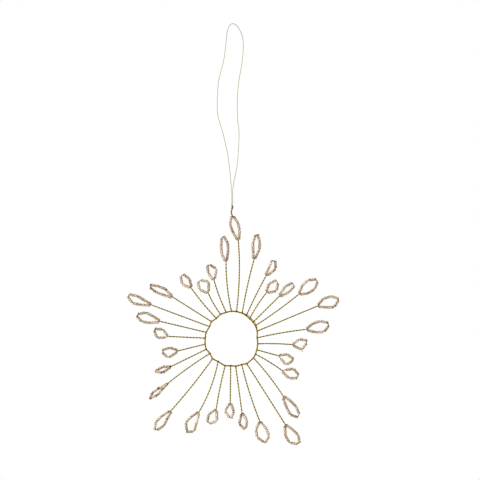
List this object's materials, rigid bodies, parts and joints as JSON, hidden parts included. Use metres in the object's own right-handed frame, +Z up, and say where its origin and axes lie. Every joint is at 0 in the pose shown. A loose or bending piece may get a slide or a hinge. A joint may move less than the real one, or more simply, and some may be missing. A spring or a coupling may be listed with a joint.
{
  "type": "beaded star ornament",
  "caption": "Flat hanging star: a brass wire ring with twisted wire rays that end in loops of rose glass tube beads, on a thread loop.",
  "frame": {"origin": "under the top of the thread's loop, where a hook or twig takes it", "axes": "+Z up along the hanging star, -Y out of its front face, +X to the right as seen from the front"},
  "size_m": [0.1699, 0.0094, 0.3368],
  "materials": {
    "brass_wire": "satin",
    "rose_glass": "glossy, pale rose, see-through",
    "gold_thread": "fine twisted thread with a dull gold sheen"
  },
  "bodies": {
    "root": {"wire_frame": "brass_wire", "bead_loop_01_tip": "rose_glass", "bead_loop_02_shoulder": "rose_glass", "bead_loop_03_flank": "rose_glass", "bead_loop_04_valley": "rose_glass", "bead_loop_05_flank": "rose_glass", "bead_loop_06_shoulder": "rose_glass", "bead_loop_07_tip": "rose_glass", "bead_loop_08_shoulder": "rose_glass", "bead_loop_09_flank": "rose_glass", "bead_loop_10_valley": "rose_glass", "bead_loop_11_flank": "rose_glass", "bead_loop_12_shoulder": "rose_glass", "bead_loop_13_tip": "rose_glass", "bead_loop_14_shoulder": "rose_glass", "bead_loop_15_flank": "rose_glass", "bead_loop_16_valley": "rose_glass", "bead_loop_17_flank": "rose_glass", "bead_loop_18_shoulder": "rose_glass", "bead_loop_19_tip": "rose_glass", "bead_loop_20_shoulder": "rose_glass", "bead_loop_21_flank": "rose_glass", "bead_loop_22_valley": "rose_glass", "bead_loop_23_flank": "rose_glass", "bead_loop_24_shoulder": "rose_glass", "bead_loop_25_tip": "rose_glass", "bead_loop_26_shoulder": "rose_glass", "bead_loop_27_flank": "rose_glass", "bead_loop_28_valley": "rose_glass", "bead_loop_29_flank": "rose_glass", "bead_loop_30_shoulder": "rose_glass", "hanging_thread": "gold_thread", "thread_knot": "gold_thread"}
  },
  "joints": []
}
